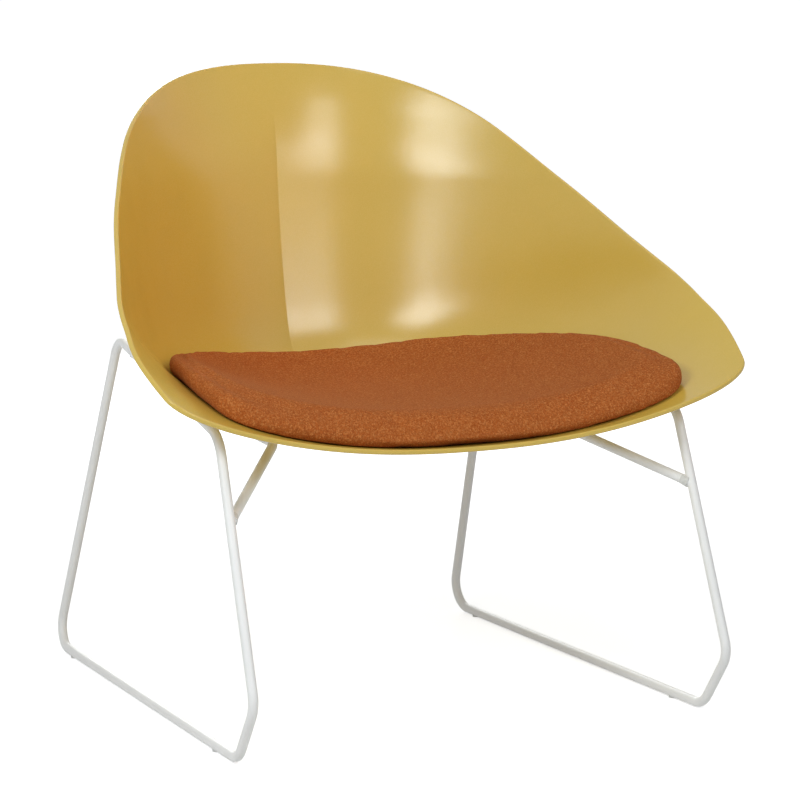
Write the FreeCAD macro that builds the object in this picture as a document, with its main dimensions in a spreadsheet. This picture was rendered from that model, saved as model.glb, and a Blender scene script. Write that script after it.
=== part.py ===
import FreeCAD, Part
import math
import os
from types import SimpleNamespace

from FreeCAD import Placement, Rotation, Vector

# A low shell chair: one moulded plastic bucket on a bent steel rod sled frame, with a lift-off seat pad.
# Millimetres, +Z up, the sitter faces -Y. Left is -X and right is +X, as seen from the front.
# The origin is on the floor, under the middle of the chair's outline.
# Setbacks run rearwards from the front foot's corner, rises run up from the runner's centre line,
# and heights run up from the floor.

DIMENSIONS = {
    # Rod frame, all on the rod's centre line. Its half widths are shares of the shell's gauge half width
    "origin_setback": 295.8,
    "rod_diameter": 12,
    "front_foot_share": 0.84722,
    "front_foot_half": "=gauge_half * front_foot_share",
    "runner_length": 658,
    "rear_foot_share": 0.80556,
    "rear_foot_half": "=gauge_half * rear_foot_share",
    "knee_share": 0.85278,
    "knee_half": "=gauge_half * knee_share",
    "knee_forward": 53.5,
    "knee_rise": 72.5,
    "front_top_share": 0.83056,
    "front_top_half": "=gauge_half * front_top_share",
    "front_top_setback": 65,
    "front_top_rise": 362,
    "rear_top_share": 0.72778,
    "rear_top_half": "=gauge_half * rear_top_share",
    "rear_top_setback": 489,
    "rear_top_rise": 423,
    "front_foot_bend": 34,
    "knee_bend": 30,
    "front_top_bend": 45,
    "rear_foot_bend": 30,
    "rear_top_bend": 32,
    "butt_weld_gap": 1.5,
    "butt_weld_crown": 0.8,
    # Braces under the seat
    "brace_joint_rise": 269,
    "brace_front_half": 188,
    "brace_front_setback": 166,
    "brace_front_rise": 331,
    "brace_rear_half": 196,
    "brace_rear_setback": 392,
    "brace_rear_rise": 347,
    "brace_end_setback": 432,
    "brace_bend": 28,
    "weld_leg": 1.6,
    "weld_set": 4,
    "weld_reach": 10.5,
    "strap_weld_leg": 2.5,
    "strap_weld_inset": 1,
    # Straps that carry the shell
    "strap_thickness": 3,
    "strap_width": 30,
    "strap_flat_half": 92,
    "strap_front_setback": 240,
    "strap_rear_setback": 335,
    "strap_clearance": 1.5,
    "strap_bend": 10,
    # Fasteners
    "screw_half_spacing": 74,
    "screw_diameter": 6,
    "screw_head_diameter": 12,
    "screw_head_height": 3.6,
    "screw_socket": 4,
    "screw_socket_depth": 2,
    "screw_hole_clearance": 0.3,
    "washer_diameter": 14,
    "washer_thickness": 1.2,
    "insert_diameter": 8.6,
    "insert_length": 10,
    "thread_clearance": 0.05,
    "boss_diameter": 18,
    # Floor glides
    "glide_drop": 0.8,
    "glide_diameter": 10,
    "glide_stem_diameter": 5,
    "glide_stem_length": 6,
    "glide_inset": 70,
    # Sleeves between the rods and the shell
    "sleeve_length": 34,
    "sleeve_wall": 2.2,
    "sleeve_mouth": 7,
    "sleeve_front_setback": 250,
    "sleeve_rear_setback": 312,
    # Shell: the middle line from lip to crown, and how far a section climbs at the gauge half width.
    # The upper back moves with the crown
    "shell_wall": 6,
    "section_power": 2.3,
    "gauge_half": 360,
    "fan_setback": -10,
    "fan_height": 626.8,
    "apron_setback": -45,
    "apron_height": 350.3,
    "apron_climb": 37,
    "lip_setback": 7,
    "lip_height": 344.8,
    "lip_climb": 60,
    "seat_setback": 200,
    "seat_height": 332.8,
    "seat_climb": 141.5,
    "low_setback": 340,
    "low_height": 328.8,
    "low_climb": 225.5,
    "tail_setback": 440,
    "tail_height": 333.3,
    "tail_climb": 289,
    "heel_setback": 507,
    "heel_height": 354.3,
    "heel_climb": 329.5,
    "loin_setback": 547,
    "loin_height": 396.3,
    "loin_climb": 349,
    "lumbar_setback": 569,
    "lumbar_height": 463.3,
    "lumbar_climb": 347.5,
    "back_setback": 590,
    "back_drop": 165.1,
    "back_height": "=crown_height - back_drop",
    "back_climb": 321,
    "nape_setback": 602,
    "nape_drop": 73.1,
    "nape_height": "=crown_height - nape_drop",
    "nape_climb": 308,
    "crown_setback": 627,
    "crown_height": 762.9,
    "crown_climb": 322.5,
    "overrun_setback": 655,
    "overrun_rise": 65.4,
    "overrun_height": "=crown_height + overrun_rise",
    "overrun_climb": 352,
    "blank_half": 415,
    "crease_depth": 9,
    "crease_spread": 40,
    "crease_end_height": 708.3,
    "crease_fade": 100,
    "crease_fade_height": "=crease_end_height - crease_fade",
    # Rim, as seen from the side
    "rim_corner_height": 409.3,
    "rim_corner_radius": 50,
    "rim_front_incline": 30.5,
    "rim_flank_setback": 172.5,
    "rim_flank_height": 502.8,
    "rim_shoulder_setback": 462,
    "rim_shoulder_drop": 83.4,
    "rim_shoulder_height": "=crown_height - rim_shoulder_drop",
    "rim_flatness": 0.6,
    # Seat pad
    "pad_clearance": 2.6,
    "pad_front_setback": 15,
    "pad_rear_setback": 515,
    "pad_wide_setback": 65,
    "pad_width_share": 0.82778,
    "pad_half_width": "=gauge_half * pad_width_share",
    "pad_front_power": 6,
    "pad_front_bow": 3.3,
    "pad_rear_power": 2.35,
    "pad_rear_bow": 2.35,
    "pad_thickness": 38,
    "pad_edge_thickness": 27.5,
    "pad_edge_bulge": 8,
    "pad_front_round": 32,
    "pad_rear_round": 40,
    # Hook and loop patches
    "patch_diameter": 32,
    "patch_thickness": 0.9,
    "patch_gap": 0.3,
    "patch_half_spacing": 90,
    "patch_front_setback": 140,
    "patch_rear_setback": 330,
}

doc = FreeCAD.newDocument("shell_chair")
sheet = doc.addObject("Spreadsheet::Sheet", "sizes")
for row, alias in enumerate(DIMENSIONS, start=1):
    sheet.set("A%d" % row, alias.replace("_", " "))
    sheet.setAlias("B%d" % row, alias)
for row, value in enumerate(DIMENSIONS.values(), start=1):
    sheet.set("B%d" % row, str(value))
doc.recompute()
d = SimpleNamespace(**{alias: float(sheet.get(alias)) for alias in DIMENSIONS})

SIDES = {"left": -1, "right": 1}
ROD_RADIUS = d.rod_diameter / 2
RUNNER_HEIGHT = d.glide_drop + ROD_RADIUS
NODES = {}


def node(label, thing):
    """Give a finished object its own label and keep it for writing."""
    thing.Label = label
    NODES[label] = thing
    return thing


def feature(name, shape):
    thing = doc.addObject("Part::Feature", name)
    thing.Shape = shape
    return thing


def boolean(kind, name, base, tool):
    thing = doc.addObject("Part::" + kind, name)
    thing.Base = base
    thing.Tool = tool
    return thing


def bound(kind, name, placement, **expressions):
    """A primitive whose sizes follow the sheet."""
    thing = doc.addObject("Part::" + kind, name)
    for prop, expression in expressions.items():
        thing.setExpression(prop, expression)
    thing.Placement = placement
    return thing


def point(half, setback, rise):
    """A frame point: half width, setback from the front foot, rise above the runner's centre line."""
    return Vector(half, setback - d.origin_setback, RUNNER_HEIGHT + rise)


def toward(start, end):
    return Vector(end).sub(start).normalize()


def between(start, end, share):
    return start + (end - start) * share


def at_setback(start, end, setback):
    """The point of a straight run at a given setback."""
    y = setback - d.origin_setback
    return between(start, end, (y - start.y) / (end.y - start.y))


def aim(base, direction):
    """A placement at base with its own Z along direction."""
    return Placement(base, Rotation(Vector(0, 0, 1), direction))


# Bent rods

def rounded_path(points, bends):
    """A wire of straight runs joined by tangent arcs, one bend radius for each inner point."""
    edges = []
    start = points[0]
    for before, corner, after, bend in zip(points, points[1:], points[2:], bends):
        back = toward(corner, before)
        ahead = toward(corner, after)
        half_turn = (math.pi - back.getAngle(ahead)) / 2
        reach = bend * math.tan(half_turn)
        inward = (back + ahead).normalize()
        arc_start = corner + back * reach
        arc_middle = corner + inward * (bend / math.cos(half_turn) - bend)
        arc_end = corner + ahead * reach
        edges.append(Part.LineSegment(start, arc_start).toShape())
        edges.append(Part.Arc(arc_start, arc_middle, arc_end).toShape())
        start = arc_end
    edges.append(Part.LineSegment(start, points[-1]).toShape())
    return Part.Wire(edges)


def rod(name, points, bends):
    """A round rod swept along a rounded path."""
    path = feature(name + "_path", rounded_path(points, bends))
    ring = bound("Circle", name + "_ring", aim(points[0], toward(points[0], points[1])),
                 Radius="sizes.rod_diameter / 2")
    sweep = doc.addObject("Part::Sweep", name)
    sweep.Sections = [ring]
    sweep.Spine = (path, ["Edge%d" % (n + 1) for n in range(len(path.Shape.Edges))])
    sweep.Solid = True
    sweep.Frenet = False
    return sweep


def frame_points(side):
    return SimpleNamespace(
        front_top=point(side * d.front_top_half, d.front_top_setback, d.front_top_rise),
        knee=point(side * d.knee_half, -d.knee_forward, d.knee_rise),
        front_foot=point(side * d.front_foot_half, 0, 0),
        rear_foot=point(side * d.rear_foot_half, d.runner_length, 0),
        rear_top=point(side * d.rear_top_half, d.rear_top_setback, d.rear_top_rise),
    )


def weld_ring(name, base, direction, rods):
    """A fillet of weld round the end of a rod that meets another rod at base."""
    ring = bound("Cone", name + "_ring", aim(base + direction * d.weld_set, direction),
                 Radius1="sizes.rod_diameter / 2 + sizes.weld_leg",
                 Radius2="sizes.rod_diameter / 2",
                 Height="sizes.weld_reach")
    for index, other in enumerate(rods):
        ring = boolean("Cut", "%s_cope_%d" % (name, index), ring, other)
    return ring


side_frames = {}
braces = {}
corners = {}
for side_name, side in SIDES.items():
    p = frame_points(side)
    corners[side_name] = p
    top_middle = between(p.front_top, p.rear_top, 0.5)
    top_run = toward(p.front_top, p.rear_top)
    loop = rod("loop_" + side_name,
               [top_middle - top_run * (d.butt_weld_gap / 2), p.front_top, p.knee, p.front_foot,
                p.rear_foot, p.rear_top, top_middle + top_run * (d.butt_weld_gap / 2)],
               [d.front_top_bend, d.knee_bend, d.front_foot_bend, d.rear_foot_bend, d.rear_top_bend])
    side_frames[side_name] = loop
    butt = bound("Cylinder", "butt_weld_" + side_name,
                 aim(top_middle - top_run * (d.butt_weld_gap / 2), top_run),
                 Radius="sizes.rod_diameter / 2 + sizes.butt_weld_crown",
                 Height="sizes.butt_weld_gap")
    node("butt_weld_" + side_name, butt)

    leg_share = (d.front_top_rise - d.brace_joint_rise) / (d.front_top_rise - d.knee_rise)
    joint = between(p.front_top, p.knee, leg_share)
    front = point(side * d.brace_front_half, d.brace_front_setback, d.brace_front_rise)
    rear = point(side * d.brace_rear_half, d.brace_rear_setback, d.brace_rear_rise)
    end = at_setback(p.front_top, p.rear_top, d.brace_end_setback)
    blank = rod("brace_blank_" + side_name, [joint, front, rear, end], [d.brace_bend, d.brace_bend])
    braces[side_name] = boolean("Cut", "coped_brace_" + side_name, blank, loop)
    for place, base, other in (("front", joint, front), ("rear", end, rear)):
        bead = weld_ring("brace_weld_%s_%s" % (place, side_name), base, toward(base, other),
                         [loop, braces[side_name]])
        node("brace_weld_%s_%s" % (place, side_name), bead)
doc.recompute()


# Shell surface

# The share of the middle line that holds the seat and the lower back
SEAT_END = 0.8
# Steps along each arc of the rim, and how many of them run past the middle plane
RIM_STEPS = 40
RIM_OVERLAP = 8
# The spacing of the rim's cross sections
RIM_PITCH = 14
# The rounded section of the rim turns this far to each side, in degrees, in so many steps
RIM_TURN = 78
RIM_COLUMNS = 4
STATIONS = ("apron", "lip", "seat", "low", "tail", "heel", "loin", "lumbar", "back", "nape", "crown",
            "overrun")


def station(name, key):
    return getattr(d, "%s_%s" % (name, key))


middle_line = Part.BSplineCurve()
middle_line.interpolate([
    Vector(station(name, "climb"), station(name, "setback") - d.origin_setback, station(name, "height"))
    for name in STATIONS])
FAN = Vector(0, d.fan_setback - d.origin_setback, d.fan_height)


def smooth(value, start, end):
    share = min(1, max(0, (value - start) / (end - start)))
    return share * share * (3 - 2 * share)


def inner_point(along, half):
    """A point of the shell's inner face: a share along the middle line, and a half width."""
    span = middle_line.LastParameter - middle_line.FirstParameter
    middle = middle_line.value(middle_line.FirstParameter + span * along)
    climb = middle.x
    spine = Vector(0, middle.y, middle.z)
    crease = smooth(middle.y, d.low_setback - d.origin_setback, d.loin_setback - d.origin_setback)
    crease *= 1 - smooth(middle.z, d.crease_fade_height, d.crease_end_height)
    crease *= d.crease_depth * (1 - math.exp(-half / d.crease_spread))
    rise = climb * (half / d.gauge_half) ** d.section_power + crease
    return spine + toward(spine, FAN) * rise + Vector(half, 0, 0)


def outer_point(along, half):
    """The inner point moved out by the wall, square to the face, and kept on the middle plane there."""
    step = 1e-3
    inner = inner_point(along, half)
    ahead = inner_point(along + step, half) - inner_point(along - step, half)
    across = inner_point(along, half + step) - inner
    normal = ahead.cross(across).normalize()
    if normal.dot(inner - FAN) < 0:
        normal = normal * -1
    if half > 0:
        return inner + normal * d.shell_wall
    flat = Vector(0, normal.y, normal.z).normalize()
    return inner + flat * (d.shell_wall / flat.dot(normal))


def grid_surface(place):
    """A smooth surface through a grid of points, closer together near the middle line."""
    rows = 40
    columns = 14
    crowding = 1.4
    edge_room = 0.004
    grid = []
    for row in range(rows + 1):
        along = edge_room + (1 - 2 * edge_room) * row / rows
        halves = [d.blank_half * (column / columns) ** crowding for column in range(columns + 1)]
        grid.append([place(along, half) for half in halves])
    surface = Part.BSplineSurface()
    surface.interpolate(grid)
    return surface


def shell_half():
    """The right half of the untrimmed shell, closed by a flat face on the middle plane."""
    inner = grid_surface(inner_point)
    outer = grid_surface(outer_point)
    u_first, u_last, v_first, v_last = inner.bounds()
    w_first, w_last, t_first, t_last = outer.bounds()
    pairs = [
        (inner.uIso(u_first), outer.uIso(w_first)),
        (inner.uIso(u_last), outer.uIso(w_last)),
        (inner.vIso(v_last), outer.vIso(t_last)),
    ]
    faces = [Part.Face(inner), Part.Face(outer)]
    for near, far in pairs:
        faces.append(Part.makeRuledSurface(near.toShape(), far.toShape()))
    near = inner.vIso(v_first).toShape()
    far = outer.vIso(t_first).toShape()
    ends = [Part.LineSegment(near.valueAt(near.FirstParameter), far.valueAt(far.FirstParameter)).toShape(),
            Part.LineSegment(near.valueAt(near.LastParameter), far.valueAt(far.LastParameter)).toShape()]
    section = Part.Wire(Part.__sortEdges__([near, far] + ends))
    faces.append(Part.Face(section))
    skin = Part.Shell(faces)
    skin.sewShape()
    return Part.Solid(skin)


def tangent_arc(start, heading, end):
    """An arc that leaves start along heading and reaches end, and its heading there."""
    chord = end - start
    along = toward(start, end)
    sideways = heading - along * heading.dot(along)
    bulge = chord.Length / 2 * math.tan(heading.getAngle(along) / 2)
    middle = between(start, end, 0.5) + sideways.normalize() * bulge
    return Part.Arc(start, middle, end), along * (2 * heading.dot(along)) - heading


def solve(rising, target, low, high):
    """The place between low and high where a rising function reaches the target."""
    for _ in range(40):
        middle = (low + high) / 2
        if rising(middle) < target:
            low = middle
        else:
            high = middle
    return low


def along_at(half, setback):
    """The share along the middle line where the inner face reaches a setback at a half width."""
    return solve(lambda along: inner_point(along, half).y, setback - d.origin_setback, 0, SEAT_END)


def rim_place(spot):
    """The share along the middle line and the half width of the inner face's point at a side view spot."""
    def turn(at):
        return math.atan2(at.y - FAN.y, FAN.z - at.z)

    along = solve(lambda share: turn(inner_point(share, 0)), turn(spot), 0, 1)
    spine = inner_point(along, 0)
    rise = (Vector(0, spot.y, spot.z) - spine).Length
    half = solve(lambda reach: (inner_point(along, reach) - spine - Vector(reach, 0, 0)).Length, rise, 0,
                 d.blank_half)
    return along, half


def rim_places():
    """The rim from just past the middle of the lip, round a front corner, to just past the crown's middle."""
    def spot(setback, height):
        return Vector(0, setback - d.origin_setback, height)

    incline = math.radians(d.rim_front_incline)
    ahead = Vector(0, math.cos(incline), math.sin(incline))
    corner = spot(d.lip_setback, d.rim_corner_height)
    reach = d.rim_corner_radius * math.tan((math.pi / 2 - incline) / 2)
    front_end = corner - Vector(0, 0, reach)
    rim_start = corner + ahead * reach
    flank = spot(d.rim_flank_setback, d.rim_flank_height)
    shoulder = spot(d.rim_shoulder_setback, d.rim_shoulder_height)
    crown = spot(d.crown_setback, d.crown_height)
    corner_arc, _ = tangent_arc(front_end, Vector(0, 0, 1), rim_start)
    front_arc, flank_heading = tangent_arc(rim_start, ahead, flank)
    flank_arc, shoulder_heading = tangent_arc(flank, flank_heading, shoulder)
    crown_arc, _ = tangent_arc(shoulder, shoulder_heading, crown)

    front_half = rim_place(front_end)[1]
    places = []
    for step in range(-RIM_OVERLAP, RIM_STEPS):
        half = front_half * step / RIM_STEPS
        places.append((along_at(abs(half), d.lip_setback), half))
    for arc in (corner_arc, front_arc, flank_arc):
        places += [rim_place(at) for at in arc.toShape().discretize(RIM_STEPS + 1)[:-1]]
    crown_edge = crown_arc.toShape()
    crown_span = crown_edge.LastParameter - crown_edge.FirstParameter
    for step in range(RIM_STEPS, -RIM_OVERLAP - 1, -1):
        share = 1 - (step / RIM_STEPS) ** 2
        along, half = rim_place(crown_edge.valueAt(crown_edge.FirstParameter + crown_span * share))
        places.append((along, math.copysign(half, step)))
    return places


def evenly_spaced(places):
    """The same run of places, spaced evenly along the inner face."""
    spots = [inner_point(along, abs(half)) for along, half in places]
    for spot, (_, half) in zip(spots, places):
        spot.x = half
    lengths = [0]
    for before, after in zip(spots, spots[1:]):
        lengths.append(lengths[-1] + before.distanceToPoint(after))
    count = round(lengths[-1] / RIM_PITCH)
    even = []
    leg = 0
    for step in range(count + 1):
        length = lengths[-1] * step / count
        while leg < len(lengths) - 2 and lengths[leg + 1] < length:
            leg += 1
        share = (length - lengths[leg]) / (lengths[leg + 1] - lengths[leg])
        start = places[leg]
        end = places[leg + 1]
        even.append((start[0] + (end[0] - start[0]) * share, start[1] + (end[1] - start[1]) * share))
    return even


def rim_cutter(places):
    """A ribbon with a rounded section: its ridge is the rim, and it passes both faces of the wall."""
    radius = d.shell_wall / 2 + d.rim_flatness
    turns = [math.radians(RIM_TURN) * step / RIM_COLUMNS for step in range(-RIM_COLUMNS, RIM_COLUMNS + 1)]
    middles = []
    normals = []
    for along, half in places:
        inner = inner_point(along, abs(half))
        outer = outer_point(along, abs(half))
        middle = between(inner, outer, 0.5)
        normal = toward(inner, outer)
        middles.append(Vector(math.copysign(middle.x, half), middle.y, middle.z))
        normals.append(Vector(math.copysign(1, half) * normal.x, normal.y, normal.z))
    grid = []
    for before, middle, after, normal in zip(middles, middles[1:], middles[2:], normals[1:]):
        outward = normal.cross(toward(before, after)).normalize()
        centre = middle - outward * radius
        ways = [outward * math.cos(turn) + normal * math.sin(turn) for turn in turns]
        grid.append([centre + way * radius for way in ways])
    surface = Part.BSplineSurface()
    surface.interpolate(grid)
    return surface.toShape()


pieces, _ = shell_half().generalFuse([rim_cutter(evenly_spaced(rim_places()))])
half_shell = feature("shell_half", max(pieces.Solids, key=lambda piece: piece.Volume))
other_half = doc.addObject("Part::Mirroring", "shell_other_half")
other_half.Source = half_shell
other_half.Normal = Vector(1, 0, 0)
whole_shell = boolean("Fuse", "shell_whole", half_shell, other_half)
whole_shell.Refine = True
doc.recompute()


def seat_spot(half, setback):
    """The inner face's point above a place on the seat, and the face's upward normal there."""
    along = along_at(abs(half), setback)
    spot = inner_point(along, abs(half))
    normal = toward(outer_point(along, abs(half)), spot)
    if half < 0:
        spot.x = -spot.x
        normal.x = -normal.x
    return spot, normal


def compound(name, things):
    group = doc.addObject("Part::Compound", name)
    group.Links = things
    return group


# Straps, and the screws that hold the shell to them

def out_of_rod(centre, face_point, run):
    """Where a strap's face, followed along run from a point inside a rod's section, comes out of the rod."""
    inside = Vector(face_point.x - centre.x, 0, face_point.z - centre.z)
    back = inside.dot(run)
    return centre + inside + run * (math.sqrt(back ** 2 + ROD_RADIUS ** 2 - inside.dot(inside)) - back)


STRAPS = {"front": d.strap_front_setback, "rear": d.strap_rear_setback}
width_way = Vector(0, 1, 0)
shell = whole_shell
inserts = []
screws = []
washers = []
strap_beads = []
for strap_name, setback in STRAPS.items():
    y = setback - d.origin_setback
    strap_edges = (setback - d.strap_width / 2, setback + d.strap_width / 2)
    weld_ends = (strap_edges[0] + d.strap_weld_inset, strap_edges[1] - d.strap_weld_inset)
    shell_bottom = min(seat_spot(0, edge)[0].z for edge in strap_edges)
    flat_top = shell_bottom - d.shell_wall - d.strap_clearance
    flat_bottom = flat_top - d.strap_thickness
    ends = {}
    knees = {}
    rod_centres = {}
    for side_name, side in SIDES.items():
        front = point(side * d.brace_front_half, d.brace_front_setback, d.brace_front_rise)
        rear = point(side * d.brace_rear_half, d.brace_rear_setback, d.brace_rear_rise)
        ends[side_name] = at_setback(front, rear, setback) + Vector(0, 0, d.strap_thickness / 2)
        knees[side_name] = Vector(side * d.strap_flat_half, y, flat_top)
        rod_centres[side_name] = [at_setback(front, rear, end) for end in weld_ends]
    path = feature("strap_path_" + strap_name,
                   rounded_path([ends["left"], knees["left"], knees["right"], ends["right"]],
                                [d.strap_bend, d.strap_bend]))
    run = toward(ends["left"], knees["left"])
    thickness_way = run.cross(width_way)
    end_corner = ends["left"] - width_way * (d.strap_width / 2) - thickness_way * d.strap_thickness
    end_face = bound("Plane", "strap_end_" + strap_name,
                     Placement(end_corner, Rotation(width_way, thickness_way, run, "ZXY")),
                     Length="sizes.strap_width", Width="sizes.strap_thickness")
    strap = doc.addObject("Part::Sweep", "strap_blank_" + strap_name)
    strap.Sections = [end_face]
    strap.Spine = (path, ["Edge%d" % (n + 1) for n in range(len(path.Shape.Edges))])
    strap.Solid = True
    for side_name in SIDES:
        strap = boolean("Cut", "strap_coped_%s_%s" % (strap_name, side_name), strap, braces[side_name])
    for side_name, side in SIDES.items():
        tag = "%s_%s" % (strap_name, side_name)
        x = side * d.screw_half_spacing
        spot, normal = seat_spot(x, setback)
        outer_z = spot.z - d.shell_wall / normal.z
        boss = bound("Cylinder", "boss_" + tag, Placement(Vector(x, y, flat_top), Rotation()),
                     Radius="sizes.boss_diameter / 2")
        boss.Height = outer_z + d.shell_wall / 2 - flat_top
        shell = boolean("Fuse", "shell_with_boss_" + tag, shell, boss)
        pocket = bound("Cylinder", "insert_pocket_" + tag, Placement(Vector(x, y, flat_top), Rotation()),
                       Radius="sizes.insert_diameter / 2", Height="sizes.insert_length")
        shell = boolean("Cut", "shell_pocket_" + tag, shell, pocket)
        barrel = bound("Cylinder", "insert_barrel_" + tag, Placement(Vector(x, y, flat_top), Rotation()),
                       Radius="sizes.insert_diameter / 2", Height="sizes.insert_length")
        thread = bound("Cylinder", "insert_thread_" + tag, Placement(Vector(x, y, flat_top), Rotation()),
                       Radius="sizes.screw_diameter / 2 + sizes.thread_clearance",
                       Height="sizes.insert_length")
        inserts.append(boolean("Cut", "insert_" + tag, barrel, thread))

        hole = bound("Cylinder", "strap_hole_" + tag, Placement(Vector(x, y, flat_bottom), Rotation()),
                     Radius="sizes.screw_diameter / 2 + sizes.screw_hole_clearance",
                     Height="sizes.strap_thickness")
        strap = boolean("Cut", "strap_drilled_" + tag, strap, hole)

        washer_z = flat_bottom - d.washer_thickness
        disc = bound("Cylinder", "washer_disc_" + tag, Placement(Vector(x, y, washer_z), Rotation()),
                     Radius="sizes.washer_diameter / 2", Height="sizes.washer_thickness")
        eye = bound("Cylinder", "washer_eye_" + tag, Placement(Vector(x, y, washer_z), Rotation()),
                    Radius="sizes.screw_diameter / 2 + sizes.screw_hole_clearance",
                    Height="sizes.washer_thickness")
        washers.append(boolean("Cut", "washer_" + tag, disc, eye))

        head_z = washer_z - d.screw_head_height
        head = bound("Cylinder", "screw_head_" + tag, Placement(Vector(x, y, head_z), Rotation()),
                     Radius="sizes.screw_head_diameter / 2", Height="sizes.screw_head_height")
        shank = bound("Cylinder", "screw_shank_" + tag, Placement(Vector(x, y, washer_z), Rotation()),
                      Radius="sizes.screw_diameter / 2",
                      Height="sizes.washer_thickness + sizes.strap_thickness + sizes.insert_length")
        socket = bound("Prism", "screw_socket_" + tag, Placement(Vector(x, y, head_z), Rotation()),
                       Circumradius="sizes.screw_socket / 2 / cos(30)", Height="sizes.screw_socket_depth")
        socket.Polygon = 6
        screw = boolean("Fuse", "screw_solid_" + tag, head, shank)
        screws.append(boolean("Cut", "screw_" + tag, screw, socket))
    node("strap_" + strap_name, strap)

    for side_name, side in SIDES.items():
        run = toward(ends[side_name], knees[side_name])
        upward = run.cross(width_way) * -side
        for face_name, depth in (("top", 0), ("bottom", d.strap_thickness)):
            tag = "%s_%s_%s" % (strap_name, side_name, face_name)
            face_point = ends[side_name] - upward * depth
            start, end = [out_of_rod(centre, face_point, run) for centre in rod_centres[side_name]]
            bead = bound("Cylinder", "strap_bead_" + tag, aim(start, toward(start, end)),
                         Radius="sizes.strap_weld_leg",
                         Height="sizes.strap_width - 2 * sizes.strap_weld_inset")
            bead = boolean("Cut", "strap_bead_rod_" + tag, bead, braces[side_name])
            strap_beads.append(boolean("Cut", "strap_weld_" + tag, bead, strap))
node("seat_shell", shell)
node("threaded_inserts", compound("insert_group", inserts))
node("mounting_screws", compound("screw_group", screws))
node("mounting_washers", compound("washer_group", washers))
node("strap_welds", compound("strap_bead_group", strap_beads))


# Floor glides pressed into the runners, and sleeves clipped on the top rods

for side_name, side in SIDES.items():
    p = corners[side_name]
    drilled = side_frames[side_name]
    glides = {}
    for place, setback in (("front", d.glide_inset), ("rear", d.runner_length - d.glide_inset)):
        tag = "%s_%s" % (place, side_name)
        foot = at_setback(p.front_foot, p.rear_foot, setback)
        base = Placement(Vector(foot.x, foot.y, 0), Rotation())
        head = bound("Cylinder", "glide_head_" + tag, base,
                     Radius="sizes.glide_diameter / 2", Height="sizes.glide_drop + sizes.rod_diameter / 2")
        stem = bound("Cylinder", "glide_stem_" + tag, base, Radius="sizes.glide_stem_diameter / 2",
                     Height="sizes.glide_drop + sizes.glide_stem_length")
        drilled = boolean("Cut", "drilled_frame_" + tag, drilled, stem)
        glides[tag] = boolean("Fuse", "glide_blank_" + tag, head, stem)
    node("side_frame_" + side_name, drilled)
    node("brace_" + side_name, braces[side_name])
    for tag, blank in glides.items():
        node("glide_" + tag, boolean("Cut", "glide_saddle_" + tag, blank, drilled))

    run = toward(p.front_top, p.rear_top)
    across = run.cross(Vector(0, 0, 1)).normalize()
    up = across.cross(run)
    for place, setback in (("front", d.sleeve_front_setback), ("rear", d.sleeve_rear_setback)):
        tag = "%s_%s" % (place, side_name)
        middle = at_setback(p.front_top, p.rear_top, setback)
        turn = Rotation(across, up, run, "ZXY")
        base = Placement(middle - run * (d.sleeve_length / 2), turn)
        outside = bound("Cylinder", "sleeve_outside_" + tag, base,
                        Radius="sizes.rod_diameter / 2 + sizes.sleeve_wall", Height="sizes.sleeve_length")
        inside = bound("Cylinder", "sleeve_inside_" + tag, base,
                       Radius="sizes.rod_diameter / 2", Height="sizes.sleeve_length")
        mouth = bound("Box", "sleeve_mouth_" + tag,
                      Placement(base.Base - across * (d.sleeve_mouth / 2) - up * d.rod_diameter, turn),
                      Length="sizes.sleeve_mouth", Width="sizes.rod_diameter", Height="sizes.sleeve_length")
        tube = boolean("Cut", "sleeve_tube_" + tag, outside, inside)
        clip = boolean("Cut", "sleeve_clip_" + tag, tube, mouth)
        node("sleeve_" + tag, boolean("Cut", "sleeve_under_shell_" + tag, clip, shell))


# Seat pad: crowned sections that follow the seat, drawn in towards both ends

PAD_SECTIONS = 24
# The arcs across a section meet and bend at these shares of its half width
PAD_STOPS = (-1, -0.8, -0.6, 0, 0.6, 0.8, 1)
PAD_CROWN_POWER = 3
PAD_LEAST_BULGE = 0.4


def pad_half_width(setback):
    """Half width of the pad's outline: a blunt curve in front, a long oval behind."""
    if setback < d.pad_wide_setback:
        share = (d.pad_wide_setback - setback) / (d.pad_wide_setback - d.pad_front_setback)
        return d.pad_half_width * (1 - share ** d.pad_front_power) ** (1 / d.pad_front_bow)
    share = (setback - d.pad_wide_setback) / (d.pad_rear_setback - d.pad_wide_setback)
    return d.pad_half_width * (1 - share ** d.pad_rear_power) ** (1 / d.pad_rear_bow)


def pad_fullness(setback):
    """How much of its full thickness the pad has: rounded down at the front and at the rear."""
    near_front = min(1, (setback - d.pad_front_setback) / d.pad_front_round)
    near_rear = min(1, (d.pad_rear_setback - setback) / d.pad_rear_round)
    return math.sqrt(1 - (1 - near_front) ** 2) * math.sqrt(1 - (1 - near_rear) ** 2)


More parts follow.
